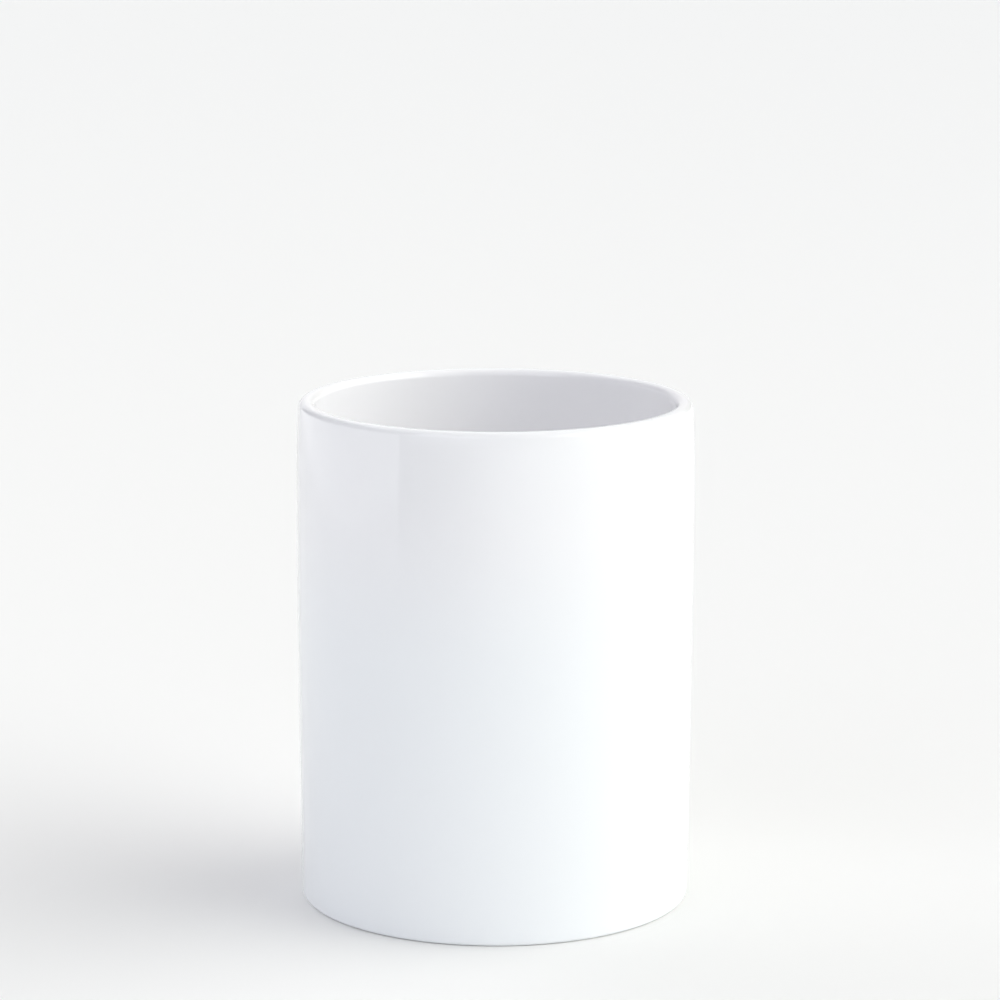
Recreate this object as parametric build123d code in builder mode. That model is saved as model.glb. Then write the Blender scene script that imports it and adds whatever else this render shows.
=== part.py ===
"""A tall round crock that stands on a worktop and holds kitchen utensils.

It is one piece of thrown and glazed stoneware: a plain wall that swells a little below the rim, a soft
rounded lip, a flat floor inside, and a narrow foot ring round a shallow recess underneath.
The origin is the centre of the foot ring on the surface that the crock stands on, and +Z points up.
All sizes are in millimetres.
"""

import os

from build123d import *

os.makedirs("parts", exist_ok=True)

# Overall form
height = 178.5
outer_diameter = 140.0  # across the widest part, a little below the rim
shoulder_height = 26.0  # from the top of the lip down to the widest part
lip_lean = 1.0  # the wall draws in this much, on the radius, from the widest part up to the lip
foot_lean = 1.0  # and this much from the widest part down to the foot

# Wall and lip
wall = 5.5
lip_outer_radius = 2.2
lip_land = 0.7  # nearly flat band on the very top of the lip

# Floor and foot
floor_thickness = 6.0  # clay between the inside floor and the recess under it
floor_corner_radius = 12.0  # where the inside wall sweeps into the floor
foot_width = 6.0
foot_recess = 1.8
foot_corner_radius = 1.4
recess_corner_radius = 0.8

# Radii and heights that follow from these
widest_radius = outer_diameter / 2
widest_height = height - shoulder_height
lip_radius = widest_radius - lip_lean
foot_radius = widest_radius - foot_lean
recess_radius = foot_radius - foot_width
floor_height = foot_recess + floor_thickness
lip_outer_round = min(lip_outer_radius, 0.6 * wall)
lip_inner_round = wall - lip_land - lip_outer_round


def pick(section, radius, level):
    """The corner of a half section that lies nearest to a radius and a height."""
    return section.vertices().sort_by_distance((radius, level))[0]


with BuildPart() as crock:
    with BuildSketch(Plane.XZ) as half_section:
        with BuildLine():
            # Underside: the recess, its step down, and the foot ring's flat face
            Polyline(
                (0, foot_recess),
                (recess_radius, foot_recess),
                (recess_radius, 0),
                (foot_radius, 0),
            )
            # Outside: two arcs that meet upright at the widest part
            TangentArc((widest_radius, widest_height), (foot_radius, 0), tangent=(0, -1))
            TangentArc((widest_radius, widest_height), (lip_radius, height), tangent=(0, 1))
            Line((lip_radius, height), (lip_radius - wall, height))
            # Inside: the same two arcs, one wall further in
            inside_widest = (widest_radius - wall, widest_height)
            TangentArc(inside_widest, (lip_radius - wall, height), tangent=(0, 1))
            TangentArc(inside_widest, (foot_radius - wall, floor_height), tangent=(0, -1))
            Polyline((foot_radius - wall, floor_height), (0, floor_height), (0, foot_recess))
        make_face()
        fillet(pick(half_section, lip_radius, height), lip_outer_round)
        fillet(pick(half_section, lip_radius - wall, height), lip_inner_round)
        fillet(pick(half_section, foot_radius - wall, floor_height), floor_corner_radius)
        fillet(pick(half_section, foot_radius, 0), foot_corner_radius)
        fillet(pick(half_section, recess_radius, 0), recess_corner_radius)
        fillet(pick(half_section, recess_radius, foot_recess), recess_corner_radius)
    revolve(axis=Axis.Z)

crock.part.label = "crock"
export_step(crock.part, "parts/crock.step")
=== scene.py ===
"""A white glazed crock that holds kitchen utensils, dressed for its looks in Blender.

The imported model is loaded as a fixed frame, and one finely turned piece stands for its crock. The piece is
thrown the way a potter would: a half section with rounded corners, turned once round the axis, with the clear
gloss of the glaze all over it and a ring of bare clay where it stands.
All sizes are in metres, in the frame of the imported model: the origin is the centre of the foot ring on the
surface that the crock stands on, and +Z points up.
"""

from __future__ import annotations

import logging
import math
from dataclasses import dataclass, field
from enum import Enum

import bmesh
import bpy
from mathutils import Euler, Matrix, Vector

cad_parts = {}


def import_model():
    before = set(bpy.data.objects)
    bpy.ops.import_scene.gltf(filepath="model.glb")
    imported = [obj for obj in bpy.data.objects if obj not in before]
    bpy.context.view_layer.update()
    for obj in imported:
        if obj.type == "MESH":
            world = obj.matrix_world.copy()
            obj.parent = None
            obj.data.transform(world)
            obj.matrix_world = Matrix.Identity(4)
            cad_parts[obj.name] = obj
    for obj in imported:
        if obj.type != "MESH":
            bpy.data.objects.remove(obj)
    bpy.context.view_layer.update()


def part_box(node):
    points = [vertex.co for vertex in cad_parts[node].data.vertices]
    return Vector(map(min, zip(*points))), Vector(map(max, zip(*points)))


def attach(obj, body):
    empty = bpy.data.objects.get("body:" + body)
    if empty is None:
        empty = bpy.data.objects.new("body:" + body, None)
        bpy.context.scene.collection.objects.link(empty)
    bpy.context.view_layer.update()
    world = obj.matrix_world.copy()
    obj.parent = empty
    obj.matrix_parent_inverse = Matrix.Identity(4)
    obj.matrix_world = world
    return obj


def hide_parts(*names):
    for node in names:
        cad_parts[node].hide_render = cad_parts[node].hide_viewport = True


log = logging.getLogger("crock")

Colour = tuple[float, float, float]
Point = tuple[float, float, float]


class Surface(Enum):
    """The finishes on the crock, in the order of its material slots."""

    GLAZE = 0
    BARE_CLAY = 1


@dataclass
class NodeBench:
    """Adds nodes to one node tree and joins them up.

    Attributes:
        tree: The node tree that is worked on.
    """

    tree: bpy.types.NodeTree

    def add(self, kind: str, values: dict[str, object] | None = None, **settings: object) -> bpy.types.Node:
        """Makes a node.

        Args:
            kind: Blender's name for the kind of node.
            values: Values for the node's input sockets, by socket name.
            settings: Values for the node's own properties.

        Returns:
            The new node.
        """
        node = self.tree.nodes.new(kind)
        for name, value in settings.items():
            setattr(node, name, value)
        for name, value in (values or {}).items():
            node.inputs[name].default_value = value
        return node

    def join(self, source: bpy.types.NodeSocket, target: bpy.types.NodeSocket) -> None:
        """Links an output socket to an input socket."""
        self.tree.links.new(source, target)


def new_material(name: str) -> tuple[bpy.types.Material, NodeBench, bpy.types.Node]:
    """Starts a material that has a principled surface and nothing else.

    Args:
        name: The name of the material.

    Returns:
        The material, a bench for its nodes, and its principled surface node.
    """
    material = bpy.data.materials.new(name)
    material.use_nodes = True
    bench = NodeBench(material.node_tree)
    surface = material.node_tree.nodes["Principled BSDF"]
    return material, bench, surface


@dataclass(frozen=True)
class ClearGlaze:
    """A clear gloss over a white body.

    Attributes:
        name: The name of the material.
        body: Colour of the body under the glaze.
        pooled: Colour where the glaze lies a little thicker in its swells.
        painted_cool_light: Colour low on the outside wall, painted light: a cooler tone that stands in for
            the cool light the lower wall picks up from the floor and the surround.
        painted_cool_full_below: All of the outside wall has that painted cool light under this height.
        painted_cool_none_above: None of it has the painted cool light over this height.
        painted_inside_light: Colour of the inside, painted light: a little lighter and warmer than the body,
            for the light that falls inside the crock.
        painted_inside_full_within: The inside has that painted light within this radius.
        painted_inside_starts_at: The change to it starts at this radius, on top of the lip.
        roughness: Roughness of the glaze.
        ior: Refraction index of the glaze.
        swell_size: Length of the long soft swells of the glaze.
        swell_height: Height of those swells.
        peel_size: Length of the fine orange peel of the glaze.
        peel_height: Height of the orange peel.
    """

    name: str = "white_glaze"
    body: Colour = (0.93, 0.93, 0.944)
    pooled: Colour = (0.92, 0.92, 0.936)
    painted_cool_light: Colour = (0.905, 0.925, 0.944)
    painted_cool_full_below: float = 0.09
    painted_cool_none_above: float = 0.15
    painted_inside_light: Colour = (0.94, 0.933, 0.947)
    painted_inside_full_within: float = 0.0645
    painted_inside_starts_at: float = 0.0675
    roughness: float = 0.02
    ior: float = 1.5
    swell_size: float = 0.03
    swell_height: float = 0.00002
    peel_size: float = 0.0022
    peel_height: float = 0.000002

    def build(self) -> bpy.types.Material:
        """Makes the material."""
        material, bench, surface = new_material(self.name)
        place = bench.add("ShaderNodeTexCoord").outputs["Object"]
        swells = bench.add(
            "ShaderNodeTexNoise",
            {"Scale": 1 / self.swell_size, "Detail": 2.0, "Roughness": 0.4},
        )
        peel = bench.add(
            "ShaderNodeTexNoise",
            {"Scale": 1 / self.peel_size, "Detail": 1.0, "Roughness": 0.5},
        )
        for noise in (swells, peel):
            bench.join(place, noise.inputs["Vector"])

        tone = bench.add("ShaderNodeMix", data_type="RGBA")
        tone.inputs["A"].default_value = (*self.body, 1)
        tone.inputs["B"].default_value = (*self.pooled, 1)
        bench.join(swells.outputs["Fac"], tone.inputs["Factor"])

        axes = bench.add("ShaderNodeSeparateXYZ")
        bench.join(place, axes.inputs["Vector"])
        level = axes.outputs["Z"]
        # Painted light: the outside wall gets a cooler colour low down, for the cool light it picks up from
        # the floor.
        colour = self._change(
            bench, tone.outputs["Result"], self.painted_cool_light, level, self.painted_cool_none_above, self.painted_cool_full_below
        )
        # Painted light: everything within the inner radius is made a little lighter and warmer, for the light
        # inside.
        across = bench.add("ShaderNodeVectorMath", operation="MULTIPLY")
        across.inputs[1].default_value = (1, 1, 0)
        bench.join(place, across.inputs[0])
        radius = bench.add("ShaderNodeVectorMath", operation="LENGTH")
        bench.join(across.outputs["Vector"], radius.inputs[0])
        colour = self._change(
            bench, colour, self.painted_inside_light, radius.outputs["Value"], self.painted_inside_starts_at, self.painted_inside_full_within
        )
        bench.join(colour, surface.inputs["Base Color"])

        swell_bump = bench.add("ShaderNodeBump", {"Strength": 1.0, "Distance": self.swell_height})
        peel_bump = bench.add("ShaderNodeBump", {"Strength": 1.0, "Distance": self.peel_height})
        bench.join(swells.outputs["Fac"], swell_bump.inputs["Height"])
        bench.join(peel.outputs["Fac"], peel_bump.inputs["Height"])
        bench.join(swell_bump.outputs["Normal"], peel_bump.inputs["Normal"])
        bench.join(peel_bump.outputs["Normal"], surface.inputs["Normal"])

        surface.inputs["Roughness"].default_value = self.roughness
        surface.inputs["IOR"].default_value = self.ior
        return material

    def _change(
        self,
        bench: NodeBench,
        first: bpy.types.NodeSocket,
        then: Colour,
        measure: bpy.types.NodeSocket,
        start: float,
        end: float,
    ) -> bpy.types.NodeSocket:
        """Changes one colour into another, softly, as a measure goes from start to end.

        Args:
            bench: The bench of the material's nodes.
            first: The colour before the change.
            then: The colour after it.
            measure: What the change goes by.
            start: The measure at which the change starts.
            end: The measure at which it is complete.

        Returns:
            The resulting colour.
        """
        share = bench.add(
            "ShaderNodeMapRange",
            {"From Min": start, "From Max": end},
            interpolation_type="SMOOTHSTEP",
        )
        bench.join(measure, share.inputs["Value"])
        change = bench.add("ShaderNodeMix", data_type="RGBA")
        change.inputs["B"].default_value = (*then, 1)
        bench.join(share.outputs["Result"], change.inputs["Factor"])
        bench.join(first, change.inputs["A"])
        return change.outputs["Result"]


@dataclass(frozen=True)
class BareClay:
    """Fired clay without glaze, wiped clean and a little rough.

    Attributes:
        name: The name of the material.
        clay: Main colour of the clay.
        grog: Colour of the coarser grains in it.
        roughness: Roughness of the clay.
        grain_size: Size of the grains.
        grain_height: Height of the grains.
    """

    name: str = "bare_clay"
    clay: Colour = (0.62, 0.57, 0.50)
    grog: Colour = (0.48, 0.42, 0.35)
    roughness: float = 0.85
    grain_size: float = 0.0007
    grain_height: float = 0.00006

    def build(self) -> bpy.types.Material:
        """Makes the material."""
        material, bench, surface = new_material(self.name)
        place = bench.add("ShaderNodeTexCoord").outputs["Object"]
        grains = bench.add(
            "ShaderNodeTexNoise",
            {"Scale": 1 / self.grain_size, "Detail": 4.0, "Roughness": 0.6},
        )
        bench.join(place, grains.inputs["Vector"])

        tone = bench.add("ShaderNodeMix", data_type="RGBA")
        tone.inputs["A"].default_value = (*self.clay, 1)
        tone.inputs["B"].default_value = (*self.grog, 1)
        bench.join(grains.outputs["Fac"], tone.inputs["Factor"])
        bench.join(tone.outputs["Result"], surface.inputs["Base Color"])

        bump = bench.add("ShaderNodeBump", {"Strength": 1.0, "Distance": self.grain_height})
        bench.join(grains.outputs["Fac"], bump.inputs["Height"])
        bench.join(bump.outputs["Normal"], surface.inputs["Normal"])
        surface.inputs["Roughness"].default_value = self.roughness
        return material


@dataclass(frozen=True)
class MattePaper:
    """The matte paper of the studio floor.

    Attributes:
        name: The name of the material.
        colour: Colour of the paper.
        roughness: Roughness of the paper.
        gloss: How strongly it reflects, where 0.5 is usual.
    """

    name: str = "studio_paper"
    colour: Colour = (0.903, 0.9, 0.893)
    roughness: float = 0.9
    gloss: float = 0.2

    def build(self) -> bpy.types.Material:
        """Makes the material."""
        material, _, surface = new_material(self.name)
        surface.inputs["Base Color"].default_value = (*self.colour, 1)
        surface.inputs["Roughness"].default_value = self.roughness
        surface.inputs["Specular IOR Level"].default_value = self.gloss
        return material


@dataclass
class Crock:
    """The crock: one wall, lip, floor and foot ring, turned from a half section.

    Attributes:
        height: From the surface that it stands on to the top of the lip.
        widest_radius: Radius at the widest part.
        shoulder_height: From the top of the lip down to the widest part.
        lip_lean: How far the wall draws in from the widest part up to the lip.
        foot_lean: How far it draws in from the widest part down to the foot.
        wall: Thickness of the wall.
        lip_outer_round: Radius of the lip's outer edge.
        lip_inner_round: Radius of the lip's inner edge.
        floor_thickness: Clay between the inside floor and the recess under it.
        floor_corner_round: Radius where the inside wall sweeps into the floor.
        foot_width: Width of the foot ring.
        foot_recess: Depth of the recess inside the foot ring.
        foot_round: Radius of the foot ring's outer edge.
        recess_round: Radius of the recess's two edges.
        bare_height: The clay is bare below this height on the foot ring.
        turn_steps: Steps in one turn of the half section.
        rounding_steps: Steps in each rounded corner of the half section.
        wall_cuts: Rings that divide each side of the wall.
        floor_cuts: Rings that divide each side of the floor.
        out_of_round: How far the crock is out of round at its lip, as fired ware always is a little.
        foot_share: The share of it that is left at the foot.
        oval_share: The share of it that is plainly oval. The rest is three low waves.
        oval_turn: How far the oval is turned round the axis, in radians.
        wave_turn: How far the waves are turned at the foot, in radians.
        wave_twist: How far they twist with the height, in radians for each metre.
    """

    height: float = 0.1785
    widest_radius: float = 0.070
    shoulder_height: float = 0.026
    lip_lean: float = 0.001
    foot_lean: float = 0.001
    wall: float = 0.0055
    lip_outer_round: float = 0.0022
    lip_inner_round: float = 0.0026
    floor_thickness: float = 0.006
    floor_corner_round: float = 0.012
    foot_width: float = 0.006
    foot_recess: float = 0.0018
    foot_round: float = 0.0014
    recess_round: float = 0.0008
    bare_height: float = 0.00025
    turn_steps: int = 256
    rounding_steps: int = 10
    wall_cuts: int = 47
    floor_cuts: int = 7
    out_of_round: float = 0.00012
    foot_share: float = 0.4
    oval_share: float = 0.7
    oval_turn: float = 0.9
    wave_turn: float = 0.4
    wave_twist: float = 9.0

    def build(self, finishes: dict[Surface, bpy.types.Material]) -> bpy.types.Object:
        """Makes the crock and dresses it.

        Args:
            finishes: The material of each surface.

        Returns:
            The crock's object, which sits at the origin.
        """
        shape = bmesh.new()
        self._draw_half_section(shape)
        self._lean_in(shape)
        self._turn(shape)
        self._settle(shape)
        for face in shape.faces:
            face.smooth = True
            on_ring = max(vertex.co.z for vertex in face.verts) < self.bare_height
            face.material_index = (Surface.BARE_CLAY if on_ring else Surface.GLAZE).value

        mesh = bpy.data.meshes.new("utensil_crock")
        shape.to_mesh(mesh)
        shape.free()
        for surface in Surface:
            mesh.materials.append(finishes[surface])
        crock = bpy.data.objects.new("utensil_crock", mesh)
        bpy.context.scene.collection.objects.link(crock)
        return crock

    def _draw_half_section(self, shape: bmesh.types.BMesh) -> None:
        """Draws half of the section as a chain of edges, with straight upright walls and rounded corners.

        Args:
            shape: An empty mesh, which receives the chain.
        """
        outside = self.widest_radius
        inside = outside - self.wall
        recess = outside - self.foot_width
        floor = self.foot_recess + self.floor_thickness
        corners = [
            (0, self.foot_recess, 0),
            (recess, self.foot_recess, self.recess_round),
            (recess, 0, self.recess_round),
            (outside, 0, self.foot_round),
            (outside, self.height, self.lip_outer_round),
            (inside, self.height, self.lip_inner_round),
            (inside, floor, self.floor_corner_round),
            (0, floor, 0),
        ]
        points = [shape.verts.new((radius, 0, level)) for radius, level, _ in corners]
        for start, end in zip(points, points[1:]):
            shape.edges.new((start, end))
        for point, (_, _, rounding) in zip(points, corners):
            if rounding:
                bmesh.ops.bevel(
                    shape,
                    geom=[point],
                    offset=rounding,
                    offset_type="OFFSET",
                    segments=self.rounding_steps,
                    profile=0.5,
                    affect="VERTICES",
                    material=-1,
                )
        self._divide(shape, upright=True, cuts=self.wall_cuts)
        self._divide(shape, upright=False, cuts=self.floor_cuts)

    def _divide(self, shape: bmesh.types.BMesh, upright: bool, cuts: int) -> None:
        """Divides the long edges of the half section.

        Args:
            shape: The mesh that holds the half section.
            upright: Whether the walls' edges are divided, or the floors'.
            cuts: The number of cuts in each of them.
        """
        long_edge = self.widest_radius / 2
        edges = []
        for edge in shape.edges:
            start, end = (vertex.co for vertex in edge.verts)
            reach = abs(start.z - end.z) if upright else abs(start.x - end.x)
            if reach > long_edge:
                edges.append(edge)
        bmesh.ops.subdivide_edges(shape, edges=edges, cuts=cuts)

    def _lean_in(self, shape: bmesh.types.BMesh) -> None:
        """Draws the wall in above and below its widest part, each in one soft arc.

        Args:
            shape: The mesh that holds the half section.
        """
        widest_height = self.height - self.shoulder_height
        start_of_wall = self.widest_radius - self.foot_width - self.floor_corner_round
        for vertex in shape.verts:
            above = max(vertex.co.z - widest_height, 0) / self.shoulder_height
            below = max(widest_height - vertex.co.z, 0) / widest_height
            draw = self.lip_lean * above**2 + self.foot_lean * below**2
            share = min(max(vertex.co.x - start_of_wall, 0) / self.floor_corner_round, 1)
            vertex.co.x -= draw * share

    def _turn(self, shape: bmesh.types.BMesh) -> None:
        """Turns the half section once round the axis and closes the solid.

        Args:
            shape: The mesh that holds the half section.
        """
        bmesh.ops.spin(
            shape,
            geom=shape.verts[:] + shape.edges[:],
            cent=(0, 0, 0),
            axis=(0, 0, 1),
            dvec=(0, 0, 0),
            angle=math.tau,
            space=Matrix.Identity(4),
            steps=self.turn_steps,
            use_merge=True,
            use_normal_flip=False,
            use_duplicate=False,
        )
        bmesh.ops.remove_doubles(shape, verts=shape.verts[:], dist=1e-6)
        bmesh.ops.recalc_face_normals(shape, faces=shape.faces[:])

    def _settle(self, shape: bmesh.types.BMesh) -> None:
        """Takes the crock a little out of round, more at the lip than at the foot.

        Args:
            shape: The mesh that holds the closed solid.
        """
        for vertex in shape.verts:
            angle = math.atan2(vertex.co.y, vertex.co.x)
            twist = self.wave_twist * vertex.co.z - self.wave_turn
            oval = (1 - math.cos(2 * angle + self.oval_turn)) / 2
            waves = (1 - math.cos(3 * angle + twist)) / 2
            shape_share = self.oval_share * oval + (1 - self.oval_share) * waves
            rise = self.foot_share + (1 - self.foot_share) * vertex.co.z / self.height
            inward = self.out_of_round * rise * shape_share
            vertex.co.xy *= 1 - inward / self.widest_radius


@dataclass(frozen=True)
class Glow:
    """One wide soft light, far off in one direction.

    Attributes:
        name: What it does for the crock.
        bearing: Its direction over the floor, in degrees round from +X towards +Y.
        rise: How high over the floor it stands, in degrees.
        light: Its light at the middle.
        falloff: How fast it fades away from the middle: 16 halves it 17 degrees out.
    """

    name: str
    bearing: float
    rise: float
    light: Colour
    falloff: float = 16.0

    def direction(self) -> Vector:
        """Gives the direction of its middle."""
        bearing, rise = math.radians(self.bearing), math.radians(self.rise)
        over_floor = math.cos(rise)
        return Vector((over_floor * math.cos(bearing), over_floor * math.sin(bearing), math.sin(rise)))


@dataclass(frozen=True)
class OverheadLight:
    """A round soft light that hangs over the crock and isn't seen itself.

    Attributes:
        name: The name of the light.
        height: Its height over the floor.
        width: Its width.
        power: Its power in watts.
        colour: Its colour.
    """

    name: str = "overhead_light"
    height: float = 2.5
    width: float = 1.6
    power: float = 2.9
    colour: Colour = (1.0, 0.92, 0.8)

    def build(self) -> bpy.types.Object:
        """Makes the light."""
        data = bpy.data.lights.new(self.name, "AREA")
        data.shape = "DISK"
        data.size = self.width
        data.energy = self.power
        data.color = self.colour
        light = bpy.data.objects.new(self.name, data)
        light.matrix_world = Matrix.Translation((0, 0, self.height))
        light.visible_camera = False
        bpy.context.scene.collection.objects.link(light)
        return light


@dataclass(frozen=True)
class Card:
    """An upright card in the studio that is seen only in the gloss of the glaze.

    Attributes:
        name: The name of the card.
        low: Its lowest corner.
        high: Its highest corner.
        light: How bright it is.
    """

    name: str
    low: Point
    high: Point
    light: float

    def build(self) -> bpy.types.Object:
        """Makes the card, which stands upright along Y."""
        shape = bmesh.new()
        bmesh.ops.create_grid(shape, x_segments=1, y_segments=1, size=0.5)
        upright = Matrix.Rotation(math.pi / 2, 3, "Y")
        bmesh.ops.rotate(shape, verts=shape.verts, cent=(0, 0, 0), matrix=upright)
        bmesh.ops.scale(shape, verts=shape.verts, vec=Vector(self.high) - Vector(self.low))
        bmesh.ops.translate(shape, verts=shape.verts, vec=(Vector(self.low) + Vector(self.high)) / 2)
        return seen_in_gloss(glowing_sheet(self.name, shape, (self.light,) * 3))


@dataclass(frozen=True)
class Foreground:
    """The studio floor in front of the crock, as the gloss of the glaze sees it.

    It is as pale as the floor close by, straight in front, and on the left of the reflector's post. Between
    those it sinks into the dark of the studio.

    Attributes:
        name: The name of the sheet.
        reach: How far it reaches to each side and to the front.
        near_edge: How far in front of the crock it starts.
        lift: How far it lies over the floor.
        light: The light that comes off it where it is pale.
        pale_within: It is pale within this distance of the crock.
        dark_beyond: It is as dark as it gets beyond this distance.
        pale_bearing: It is pale on the right of this bearing, in degrees round from +X towards +Y.
        dark_bearing: It is as dark as it gets from this bearing on, to the left.
        dark_until: The dark ends at this bearing, at the reflector's post.
        pale_again: It is pale on the left of this bearing.
    """

    name: str = "studio_foreground"
    reach: float = 6.0
    near_edge: float = 0.35
    lift: float = 0.001
    light: float = 0.9
    pale_within: float = 0.4
    dark_beyond: float = 1.0
    pale_bearing: float = -80.0
    dark_bearing: float = -118.0
    dark_until: float = -143.5
    pale_again: float = -145.5

    def build(self) -> bpy.types.Object:
        """Makes the sheet."""
        shape = bmesh.new()
        bmesh.ops.create_grid(shape, x_segments=1, y_segments=1, size=0.5)
        bmesh.ops.scale(shape, verts=shape.verts, vec=(2 * self.reach, self.reach - self.near_edge, 1))
        middle = (0, -(self.reach + self.near_edge) / 2, self.lift)
        bmesh.ops.translate(shape, verts=shape.verts, vec=middle)
        sheet = glowing_sheet(self.name, shape, (self.light,) * 3)
        bench = NodeBench(sheet.data.materials[0].node_tree)
        place = bench.add("ShaderNodeTexCoord").outputs["Object"]
        distance = bench.add("ShaderNodeVectorMath", operation="LENGTH")
        bearing = bench.add("ShaderNodeVectorMath", operation="NORMALIZE")
        for measure in (distance, bearing):
            bench.join(place, measure.inputs[0])
        sideways = bench.add("ShaderNodeSeparateXYZ")
        bench.join(bearing.outputs["Vector"], sideways.inputs["Vector"])
        far_off = bench.add(
            "ShaderNodeMapRange",
            {"From Min": self.pale_within, "From Max": self.dark_beyond},
            interpolation_type="SMOOTHSTEP",
        )
        on_left = bench.add(
            "ShaderNodeMapRange",
            {
                "From Min": math.cos(math.radians(self.pale_bearing)),
                "From Max": math.cos(math.radians(self.dark_bearing)),
            },
            interpolation_type="SMOOTHSTEP",
        )
        up_to_post = bench.add(
            "ShaderNodeMapRange",
            {
                "From Min": math.cos(math.radians(self.dark_until)),
                "From Max": math.cos(math.radians(self.pale_again)),
                "To Min": 1.0,
                "To Max": 0.0,
            },
        )
        bench.join(distance.outputs["Value"], far_off.inputs["Value"])
        darkness = far_off.outputs["Result"]
        for share in (on_left, up_to_post):
            bench.join(sideways.outputs["X"], share.inputs["Value"])
            product = bench.add("ShaderNodeMath", operation="MULTIPLY")
            bench.join(darkness, product.inputs[0])
            bench.join(share.outputs["Result"], product.inputs[1])
            darkness = product.outputs["Value"]
        paleness = bench.add("ShaderNodeMath", operation="SUBTRACT")
        paleness.inputs[0].default_value = 1.0
        bench.join(darkness, paleness.inputs[1])
        bench.join(paleness.outputs["Value"], bench.tree.nodes["Emission"].inputs["Strength"])
        return seen_in_gloss(sheet)


def seen_in_gloss(piece: bpy.types.Object) -> bpy.types.Object:
    """Hides a piece of the studio from everything but glossy reflections.

    Args:
        piece: The piece.

    Returns:
        The same piece.
    """
    piece.visible_camera = False
    piece.visible_diffuse = False
    piece.visible_shadow = False
    piece.visible_transmission = False
    return piece


def glowing_sheet(name: str, shape: bmesh.types.BMesh, light: Colour) -> bpy.types.Object:
    """Makes a piece of the studio that gives off an even light.

    Args:
        name: The name of the piece.
        shape: Its shape, which is used up.
        light: The light that comes off it.

    Returns:
        The piece.
    """
    mesh = bpy.data.meshes.new(name)
    shape.to_mesh(mesh)
    shape.free()
    material, bench, surface = new_material(name)
    bench.tree.nodes.remove(surface)
    glow = bench.add("ShaderNodeEmission", {"Color": (*light, 1)})
    bench.join(glow.outputs["Emission"], bench.tree.nodes["Material Output"].inputs["Surface"])
    mesh.materials.append(material)
    piece = bpy.data.objects.new(name, mesh)
    bpy.context.scene.collection.objects.link(piece)
    return piece


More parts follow.
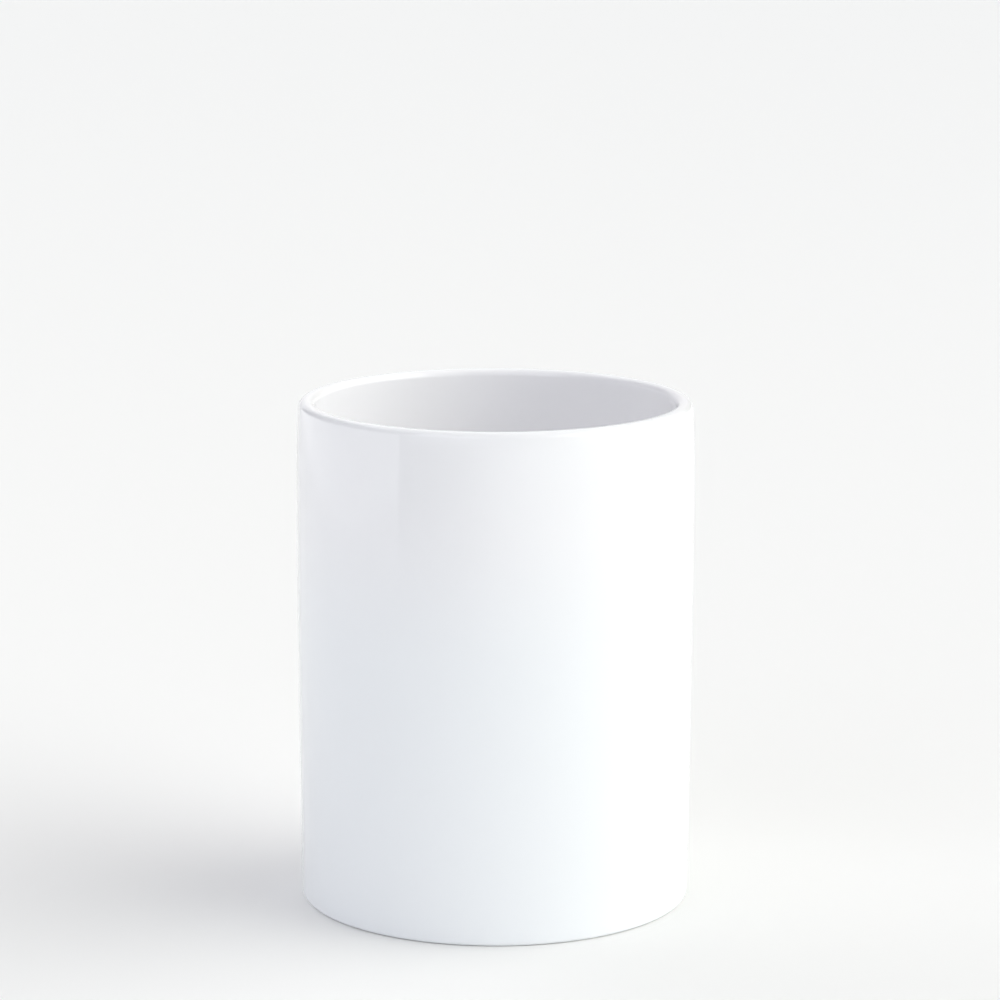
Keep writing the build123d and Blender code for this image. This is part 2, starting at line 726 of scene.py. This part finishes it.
@dataclass
class Studio:
    """A plain pale floor with soft light from all round.

    Attributes:
        floor_radius: Radius of the round floor.
        paper: The finish of the floor.
        round_steps: Sides of the round floor and of the backdrop.
        backdrop_radius: Radius of the backdrop that stands round the floor.
        backdrop_height: Height of the backdrop.
        backdrop_light: The light that comes off the backdrop.
        glows: The wide soft lights.
        overhead: The soft light that hangs over the crock.
        cards: The cards that shape the gloss.
        foreground: The floor in front of the crock, as the gloss sees it.
    """

    floor_radius: float = 20.0
    paper: MattePaper = MattePaper()
    round_steps: int = 96
    backdrop_radius: float = 9.0
    backdrop_height: float = 6.0
    backdrop_light: Colour = (0.92, 0.92, 0.93)
    glows: list[Glow] = field(
        default_factory=lambda: [
            Glow("key_in_front", -30, 22, (3.24, 3.33, 3.2)),
            Glow("key_behind", 30, 22, (2.28, 2.27, 2.23)),
            Glow("key_above", 0, 40, (3.22, 3.25, 3.13), 14),
            Glow("camera_side", -90, 22, (0.54, 0.56, 0.64)),
            Glow("left_front_low", -120, 22, (1.34, 1.36, 1.49)),
            Glow("left_front_high", -150, 40, (1.34, 1.38, 1.47), 14),
            Glow("left_back_high", 150, 40, (1.65, 1.68, 1.72), 14),
            Glow("back_left_high", 120, 40, (0.61, 0.59, 0.61), 14),
            Glow("back_high", 90, 40, (0.72, 0.71, 0.74), 14),
            Glow("back_low", 90, 5, (0.76, 0.76, 0.77)),
            Glow("back_left_low", 120, 5, (0.7, 0.7, 0.7)),
        ]
    )
    overhead: OverheadLight = OverheadLight()
    cards: list[Card] = field(
        default_factory=lambda: [
            Card("left_reflector", (-0.73, -0.54, 0), (-0.73, 1.3, 0.27), 1.3),
            Card("reflector_post", (-0.6, -0.475, 0), (-0.6, -0.44, 0.2), 0.0),
            Card("dark_above_reflector", (-0.73, -0.58, 0.27), (-0.73, 1.3, 1.2), 0.0),
        ]
    )
    foreground: Foreground = Foreground()

    def build(self) -> list[bpy.types.Object]:
        """Makes the floor, the backdrop, the lights and the cards.

        Returns:
            The objects that were made.
        """
        self._surround()
        reflected = [card.build() for card in self.cards]
        return [self._floor(), self._backdrop(), self.overhead.build(), self.foreground.build(), *reflected]

    def _floor(self) -> bpy.types.Object:
        """Makes the round matte floor."""
        shape = bmesh.new()
        bmesh.ops.create_circle(
            shape,
            cap_ends=True,
            cap_tris=False,
            segments=self.round_steps,
            radius=self.floor_radius,
        )
        mesh = bpy.data.meshes.new("studio_floor")
        shape.to_mesh(mesh)
        shape.free()
        mesh.materials.append(self.paper.build())
        floor = bpy.data.objects.new("studio_floor", mesh)
        bpy.context.scene.collection.objects.link(floor)
        return floor

    def _backdrop(self) -> bpy.types.Object:
        """Makes the pale backdrop, which only a low camera sees."""
        shape = bmesh.new()
        bmesh.ops.create_cone(
            shape,
            cap_ends=False,
            segments=self.round_steps,
            radius1=self.backdrop_radius,
            radius2=self.backdrop_radius,
            depth=self.backdrop_height,
        )
        bmesh.ops.translate(shape, verts=shape.verts, vec=(0, 0, self.backdrop_height / 2))
        backdrop = glowing_sheet("studio_backdrop", shape, self.backdrop_light)
        backdrop.visible_diffuse = False
        backdrop.visible_glossy = False
        backdrop.visible_shadow = False
        backdrop.visible_transmission = False
        return backdrop

    def _surround(self) -> None:
        """Makes the world, which gives the light of all the glows added up."""
        world = bpy.data.worlds.new("studio_surround")
        world.use_nodes = True
        bench = NodeBench(world.node_tree)
        towards = bench.add("ShaderNodeTexCoord").outputs["Generated"]
        total = None
        for glow in self.glows:
            nearness = bench.add("ShaderNodeVectorMath", operation="DOT_PRODUCT")
            nearness.inputs[1].default_value = glow.direction()
            bench.join(towards, nearness.inputs[0])
            fade = bench.add("ShaderNodeMath", operation="MULTIPLY_ADD")
            fade.inputs[1].default_value = glow.falloff
            fade.inputs[2].default_value = -glow.falloff
            bench.join(nearness.outputs["Value"], fade.inputs[0])
            share = bench.add("ShaderNodeMath", operation="EXPONENT")
            bench.join(fade.outputs["Value"], share.inputs[0])
            added = bench.add("ShaderNodeVectorMath", operation="MULTIPLY_ADD")
            added.inputs[1].default_value = glow.light
            added.inputs[2].default_value = (0, 0, 0)
            bench.join(share.outputs["Value"], added.inputs[0])
            if total:
                bench.join(total, added.inputs[2])
            total = added.outputs["Vector"]
        bench.join(total, world.node_tree.nodes["Background"].inputs["Color"])
        bpy.context.scene.world = world


@dataclass(frozen=True)
class StillCamera:
    """The camera that sees the crock from the front and a little above.

    Attributes:
        distance: How far in front of the crock's axis it stands.
        height: Its height over the floor.
        pitch: How far it looks down, in degrees.
        yaw: How far it turns to the right, in degrees.
        roll: How far it tilts about its own axis, in degrees.
        lens: Its focal length in millimetres.
        sensor: The width of its sensor in millimetres.
    """

    distance: float = 1.321
    height: float = 0.4044
    pitch: float = 11.224
    yaw: float = 0.071
    roll: float = 0.12
    lens: float = 137.5
    sensor: float = 36.0

    def build(self) -> bpy.types.Object:
        """Makes the camera and gives it to the scene."""
        data = bpy.data.cameras.new("still_camera")
        data.sensor_fit = "HORIZONTAL"
        data.sensor_width = self.sensor
        data.lens = self.lens
        data.clip_start = 0.01
        data.clip_end = 100.0
        camera = bpy.data.objects.new("still_camera", data)
        turn = Euler((0, 0, -math.radians(self.yaw))).to_matrix()
        tip = Euler((math.radians(90 - self.pitch), 0, 0)).to_matrix()
        tilt = Euler((0, 0, math.radians(self.roll))).to_matrix()
        facing = (turn @ tip @ tilt).to_4x4()
        camera.matrix_world = Matrix.Translation((0, -self.distance, self.height)) @ facing
        bpy.context.scene.collection.objects.link(camera)
        bpy.context.scene.camera = camera
        return camera


def main() -> None:
    """Loads the frame, makes the crock and the studio round it, and reports each piece."""
    logging.basicConfig(level=logging.INFO, format="%(name)s: %(message)s")
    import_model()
    low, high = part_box("crock")
    size = (high - low) * 1000
    log.info("frame: crock is %.1f mm high and %.1f mm across", size.z, size.x)

    finishes = {Surface.GLAZE: ClearGlaze().build(), Surface.BARE_CLAY: BareClay().build()}
    crock = Crock(height=high.z, widest_radius=high.x).build(finishes)
    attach(crock, "root")
    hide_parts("crock")
    finish_names = [material.name for material in crock.data.materials]
    log.info("%s: %d faces in %s", crock.name, len(crock.data.polygons), finish_names)

    for piece in Studio().build():
        log.info("studio: %s", piece.name)
    camera = StillCamera().build()
    log.info("camera: %s at %s", camera.name, [round(value, 4) for value in camera.location])
    bpy.context.scene.view_settings.view_transform = "Standard"


if __name__ == "__main__":
    main()
